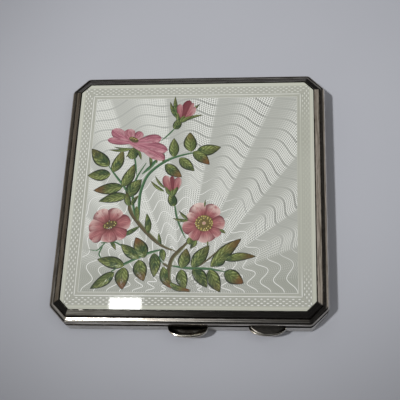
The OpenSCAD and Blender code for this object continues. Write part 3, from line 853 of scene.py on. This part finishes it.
def painted_leaves():
    s = Strokes()
    leaves = [
        # base, tip, width share, tone, brown
        ((-6.6, 10.3), (-7, 16.4), 0.5, 0.4, 0.1), ((-1.6, 12), (-2.4, 18.3), 0.62, 0.5, 0.4),
        ((0, 12.4), (7, 13.5), 0.5, 0.5, 0.2), ((-1.2, 12), (3.9, 7.9), 0.5, 0.5, 0.9),
        ((-5, 10), (-0.4, 5.9), 0.5, 0.5, 0.1), ((-9, 8), (-3.9, 4), 0.5, 0.5, 0.8),
        ((-25, 7.5), (-30.6, 13), 0.5, 0.5, 0.3), ((-24, 5.5), (-21.5, 12.6), 0.42, 0.7, 0.3),
        ((-24.4, 5), (-30.9, 4.6), 0.56, 0.5, 0.1), ((-20.6, 1.2), (-28.8, 0), 0.42, 0.4, 0.8),
        ((-20.8, 1), (-17.8, 8.2), 0.42, 0.5, 0.2), ((-19.0, -2.0), (-15.4, 3.4), 0.6, 0.2, 0.1),
        ((-18.9, -1.6), (-27, -3.3), 0.36, 0.5, 0.1), ((-18, -22), (-25.6, -20.1), 0.44, 0.4, 0.1),
        ((-20.6, -23.8), (-26.7, -28.3), 0.42, 0.4, 0.1), ((-18.2, -22.4), (-18, -28.7), 0.62, 0.6, 0.9),
        ((-14, -20), (-19.6, -15.8), 0.44, 0.3, 0.1), ((-12.6, -19.8), (-15.6, -13.9), 0.6, 0.2, 0.9),
        ((-14.3, -20.4), (-12.4, -26.4), 0.62, 0.3, 0.7), ((-10.2, -18.5), (-9.8, -25.4), 0.46, 0.4, 0.1),
        ((-2.4, -22.9), (-1.3, -17.2), 0.6, 0.3, 0.4), ((0.5, -22.7), (5, -16.4), 0.5, 0.3, 0.2),
        ((5.6, -22.6), (13.9, -14.5), 0.33, 0.8, 0.7), ((6.6, -22.4), (9.6, -18.4), 0.6, 0.3, 0.1),
        ((9.2, -20.6), (18.1, -19.7), 0.28, 0.9, 0.6), ((9.5, -23.9), (14.9, -27.3), 0.62, 0.3, 0.9),
        ((5.3, -23.3), (8.5, -29.7), 0.52, 0.4, 0.3), ((0.8, -23), (4.9, -28.4), 0.52, 0.3, 0.1),
        ((-2.5, -23.2), (-1, -28.8), 0.56, 0.3, 0.1), ((-8.2, -17.3), (-7.4, -20.9), 0.5, 0.3, 0.0),
        ((-16.2, -4.8), (-15.5, -9.8), 0.3, 0.3, 0.0), ((-12.4, -13.2), (-13.1, -6.9), 0.3, 0.3, 0.0),
        ((-8.4, -16.2), (-9.3, -12.6), 0.25, 0.2, 0.0), ((-19.5, -13.5), (-14.6, -10.6), 0.24, 0.1, 0.0),
    ]
    for k, (base, tip, width, tone, brown) in enumerate(leaves):
        leaf(s, base, tip, width, 0.05 * math.sin(2.4 * k), 0.03 + 0.002 * (k % 7), tone, brown)
    sepals = [
        ((3.2, -5.4), (3.3, -2.9), 0.2), ((-0.6, -9.2), (-4.1, -6.2), 0.2), ((-0.9, -9.2), (-5.8, -8.4), 0.2),
        ((7.2, -11.9), (9.4, -13), 0.42), ((1.2, -14.6), (-0.3, -17.4), 0.5), ((4.3, -14.6), (4.4, -17), 0.2),
        ((-6.2, 22.6), (-8.9, 28.4), 0.2), ((-6.0, 23), (-7.5, 30.2), 0.2), ((-4.0, 22.4), (0.1, 27.7), 0.2),
        ((-4.4, 22), (1.2, 24), 0.16), ((-8.6, -0.4), (-12.8, 2.9), 0.18), ((-8.6, 0.6), (-11.6, 4.4), 0.16),
        ((-18.8, 13), (-25.6, 12.6), 0.14), ((-19, 13), (-24.4, 13.6), 0.12), ((-17.8, 13), (-16, 9.4), 0.24),
        ((-18.8, 13), (-20.6, 10.2), 0.24), ((-13.6, 10.6), (-13.2, 6.8), 0.24),
        ((-12.2, 10.8), (-11.4, 8.2), 0.24), ((-10.4, 12), (-9.6, 8.4), 0.34),
        ((-5.2, 1.8), (-4.9, 4.4), 0.2), ((-22.5, -15), (-20.8, -17.6), 0.34),
    ]
    for base, tip, width in sepals:
        leaf(s, base, tip, width, 0.06, 0.05, 0.1, 0.2)
    cups = [
        ((-18.2, -4.8), (-19.2, -0.6), 0.42), ((-17.6, -4.6), (-15.9, -1.6), 0.36),
        ((-5.9, 21.4), (-6.2, 24.8), 0.34), ((-5.2, 21.4), (-2.0, 23.6), 0.34),
        ((-5.5, 21.4), (-4.1, 24.0), 0.36), ((-6.3, -1.9), (-8.5, 1.6), 0.3),
        ((-6.0, -1.9), (-4.5, 1.8), 0.32), ((-6.1, -1.9), (-6.5, 0.8), 0.36),
    ]
    for base, tip, width in cups:
        leaf(s, base, tip, width, 0.06, 0.12, 0.2, 0.3)
    heel = [
        ((-7.5, -22.4), (-4.4, -28.6), 0.4, 1.0), ((-6.0, -26.6), (0.6, -29.0), 0.24, 1.0),
        ((-6.4, -23.0), (-5.4, -27.6), 0.34, 0.2),
    ]
    for base, tip, width, brown in heel:
        leaf(s, base, tip, width, -0.1, 0.035, 0.4, brown)
    hips = [
        ((-6.9, 19.2), (-5.6, 22.8), 0.66), ((-5.5, -4.9), (-6.9, -0.9), 0.62),
        ((-18.6, 9.6), (-18.6, 13.4), 0.8), ((-0.6, -16.2), (-0.2, -13.8), 0.9),
    ]
    for base, tip, width in hips:
        leaf(s, base, tip, width, 0.0, 0.045, 0.5, 0.1, blunt=0.8)
    return s.object("painted_leaves", "enamel", LEAF)


def painted_petals():
    s = Strokes()
    petals = [
        # full rose: base, tip, width share, paleness of the edge, mauve
        ((3.6, -9.0), (6.4, -4.6), 0.95, 1.0, 0.0), ((3.0, -9.0), (0.2, -4.2), 0.95, 1.0, 0.0),
        ((4.2, -10.4), (9.1, -9.6), 0.9, 0.3, 0.0), ((2.2, -9.4), (-1.8, -7.4), 0.8, 0.9, 0.0),
        ((2.2, -10.6), (-2.9, -11.4), 0.86, 0.1, 0.0), ((4.4, -11.2), (8.0, -13.4), 0.8, 0.2, 0.0),
        ((2.2, -10.4), (0.2, -15.0), 0.8, 0.1, 0.0), ((3.4, -11.0), (4.6, -15.6), 1.1, 0.5, 0.0),
        # rose turned to the left
        ((-23.6, -10.0), (-27.0, -6.2), 0.95, 0.9, 0.0), ((-22.8, -9.8), (-21.4, -5.4), 1.0, 0.8, 0.0),
        ((-23.6, -11.0), (-28.9, -10.6), 0.9, 0.5, 0.0), ((-22.4, -10.4), (-17.4, -9.0), 0.9, 0.1, 0.0),
        ((-23.6, -11.2), (-28.4, -14.2), 0.7, 0.1, 0.0), ((-22.6, -11.0), (-18.4, -13.8), 0.8, 0.0, 0.0),
        ((-23.0, -11.2), (-22.8, -15.4), 1.3, 0.3, 0.0), ((-24.4, -12.0), (-27.4, -15.2), 0.6, 0.4, 0.0),
        # rose from the side
        ((-19.4, 15.4), (-25.4, 18.9), 0.5, 0.6, 1.0), ((-19.4, 15.4), (-20.8, 19.2), 0.9, 0.5, 0.8),
        ((-18.4, 15.6), (-16.6, 18.4), 0.8, 0.4, 0.9), ((-18.0, 14.8), (-26.4, 15.8), 0.28, 0.2, 1.0),
        ((-18.4, 14.9), (-10.6, 16.4), 0.42, 0.4, 1.0), ((-17.6, 14.2), (-9.2, 9.6), 0.34, 0.1, 0.9),
        ((-19.6, 14.8), (-8.6, 12.4), 0.34, 0.5, 1.0), ((-20.6, 15.0), (-12.6, 12.0), 0.3, 0.2, 1.0),
        # buds
        ((-5.4, 22.4), (-6.0, 27.6), 0.42, 0.3, 0.3), ((-4.5, 22.4), (-1.3, 26.6), 0.45, 0.4, 0.3),
        ((-5.1, 22.0), (-3.1, 28.9), 0.42, -1.0, 0.0), ((-4.2, 22.8), (-1.9, 28.0), 0.26, 0.3, 0.2),
        ((-6.5, -1.4), (-8.8, 4.5), 0.42, 0.2, 0.1), ((-5.9, -1.2), (-4.7, 4.0), 0.44, 0.2, 0.1),
        ((-6.2, -1.0), (-6.8, 4.4), 0.3, -1.0, 0.0),
    ]
    for k, (base, tip, width, tone, mauve) in enumerate(petals):
        leaf(s, base, tip, width, 0.0, 0.055 + 0.002 * k, tone, mauve,
             fullest=0.64, blunt=0.9)
    return s.object("painted_petals", "enamel", PETAL)


def painted_stamens():
    s = Strokes()

    def disc(centre, rx, ry, tone, lift, turn=0.0, tint=0.0):
        rows, uvs = [], []
        for k in range(25):
            a = 2 * math.pi * k / 24
            row, uv = [], []
            for t in (1.0, 0.7, 0.35, 0.02):
                ex, ey = rx * t * math.cos(a), ry * t * math.sin(a)
                x = centre[0] + ex * math.cos(turn) - ey * math.sin(turn)
                y = centre[1] + ex * math.sin(turn) + ey * math.cos(turn)
                row.append((x, y, TOP + lift + 0.05 * (1 - t * t)))
                uv.append((0.5 + t / 2, k / 24))
            rows.append(row)
            uvs.append(uv)
        s.grid(rows, uvs, tone, tint)

    disc((3.2, -10), 2.5, 2.4, 0.1, 0.15)
    disc((3.2, -10), 1.1, 1.0, 0.1, 0.16, tint=1.0)
    disc((-23, -10.3), 2.0, 1.1, 0.0, 0.15, 0.3)
    disc((-18.7, 15.8), 1.5, 0.8, 0.0, 0.15, -0.4)
    for ring, count, size in ((2.2, 19, 0.22), (1.6, 12, 0.2), (0.5, 3, 0.14)):
        for k in range(count):
            a = 2 * math.pi * (k + 0.25 * math.sin(5.0 * k)) / count
            far = ring * (1 + 0.08 * math.sin(7.0 * k + ring))
            disc((3.2 + far * math.cos(a), -10 + far * math.sin(a) * 0.96), size, size, 0.8, 0.19)
    for k in range(9):
        a = 2 * math.pi * k / 9
        disc((-23 + 1.5 * math.cos(a), -10.3 + 0.75 * math.sin(a) + 0.4 * math.cos(a)), 0.18, 0.18, 0.8, 0.19)
    for k in range(6):
        disc((-19.6 + 0.36 * k, 16.3 - 0.12 * k + 0.25 * (k % 2)), 0.16, 0.16, 0.8, 0.19)
    return s.object("painted_stamens", "enamel", STAMEN)


painted_stems()
painted_leaves()
painted_petals()
painted_stamens()


# ------------------------------------------------- floor, light, camera

def floor():
    half = 6.0
    mesh = bpy.data.meshes.new("floor")
    corners = [(-half, -half, 0), (half, -half, 0), (half, half, 0), (-half, half, 0)]
    mesh.from_pydata(corners, [], [(0, 1, 2, 3)])
    obj = bpy.data.objects.new("floor", mesh)
    bpy.context.scene.collection.objects.link(obj)
    n = Nodes("floor")
    cloud = n.noise(n.place(), 0.02, 3.0, 0.5)
    n.set(Base_Color=n.mix(cloud, rgb(186, 188, 196), rgb(192, 194, 201)), Roughness=0.6)
    obj.data.materials.append(n.material)


def area_light(name, place, target, size, power):
    data = bpy.data.lights.new(name, "AREA")
    data.shape = "RECTANGLE"
    data.size, data.size_y = size
    data.energy = power
    obj = bpy.data.objects.new(name, data)
    obj.location = place
    obj.rotation_euler = (Vector(target) - Vector(place)).to_track_quat("-Z", "Y").to_euler()
    bpy.context.scene.collection.objects.link(obj)
    return obj


def spot_light(name, place, target, radius, cone, power):
    """A lamp with a soft cone; cone is the radius of its pool of light on the table."""
    data = bpy.data.lights.new(name, "SPOT")
    data.shadow_soft_size = radius
    data.energy = power
    data.spot_blend = 1.0
    aim = Vector(target) - Vector(place)
    data.spot_size = 2 * math.atan(cone / aim.length)
    obj = bpy.data.objects.new(name, data)
    obj.location = place
    obj.rotation_euler = aim.to_track_quat("-Z", "Y").to_euler()
    bpy.context.scene.collection.objects.link(obj)


def world():
    """A dim room: soft patches of light above, behind, at the sides and at the front left."""
    made = bpy.data.worlds.new("studio")
    bpy.context.scene.world = made
    made.use_nodes = True
    tree = made.node_tree
    direction = tree.nodes.new("ShaderNodeTexCoord").outputs["Generated"]
    total = None
    for aim, low, high, colour in ROOM:
        dot = tree.nodes.new("ShaderNodeVectorMath")
        dot.operation = "DOT_PRODUCT"
        tree.links.new(direction, dot.inputs[0])
        dot.inputs[1].default_value = Vector(aim).normalized()
        ramp = tree.nodes.new("ShaderNodeMapRange")
        ramp.interpolation_type = "SMOOTHSTEP"
        tree.links.new(dot.outputs["Value"], ramp.inputs[0])
        ramp.inputs[1].default_value, ramp.inputs[2].default_value = low, high
        tint = tree.nodes.new("ShaderNodeVectorMath")
        tint.operation = "SCALE"
        tint.inputs[0].default_value = colour
        tree.links.new(ramp.outputs[0], tint.inputs["Scale"])
        if total is None:
            total = tint.outputs[0]
        else:
            add = tree.nodes.new("ShaderNodeVectorMath")
            tree.links.new(total, add.inputs[0])
            tree.links.new(tint.outputs[0], add.inputs[1])
            total = add.outputs[0]
    tree.links.new(total, tree.nodes["Background"].inputs[0])


def camera():
    """The view, fitted to the edges of the case; the small shift stands for a cropped picture."""
    data = bpy.data.cameras.new("camera")
    data.sensor_width = 36
    data.lens = 71.37
    data.shift_x = -0.05
    data.clip_start = 0.01
    obj = bpy.data.objects.new("camera", data)
    obj.location = (0.02708, -0.08738, 0.21472)
    obj.rotation_euler = Euler([math.radians(a) for a in (22.495, 4.589, 1.726)], "XYZ")
    bpy.context.scene.collection.objects.link(obj)
    bpy.context.scene.camera = obj


# Soft patches of the room: direction, where each fades in and is full, and its colour.
ROOM = [
    ((0, 0, 1), -2.0, -1.5, (0.012, 0.012, 0.013)),
    ((-0.26, 0.50, 0.83), 0.955, 0.995, (0.4, 0.42, 0.43)),
    ((-0.81, 0.35, 0.46), 0.90, 0.985, (0.17, 0.15, 0.125)),
    ((0.70, 0.39, 0.60), 0.90, 0.99, (0.18, 0.165, 0.145)),
    ((0.93, 0.35, 0.12), 0.85, 0.99, (0.3, 0.28, 0.27)),
    ((-0.42, -0.85, 0.32), 0.957, 0.985, (0.6, 0.6, 0.61)),
    ((-0.42, -0.62, 0.66), 0.945, 0.985, (0.2, 0.2, 0.19)),
    ((-0.66, 0.0, 0.75), 0.93, 0.985, (0.24, 0.24, 0.245)),
    ((0.0, 0.64, 0.77), 0.93, 0.985, (0.2, 0.2, 0.205)),
    ((0.68, 0.05, 0.73), 0.93, 0.985, (0.24, 0.235, 0.23)),
    ((0, 0, 1), 0.10, 0.02, (0.08, 0.08, 0.084)),
]

floor()
world()
camera()
spot_light("key", (-0.26, -0.215, 0.85), (0.010, 0.040, 0), 0.025, 0.138, 20.4)
area_light("fill", (0.28, -0.14, 0.86), (0, 0, 0), (0.5, 0.5), 1.5).visible_glossy = False
area_light("lamp", (-0.1368, 0.1158, 0.574), (-0.1368, 0.1158, 0), (0.033, 0.015), 0.035)
bpy.context.scene.view_settings.view_transform = "Standard"
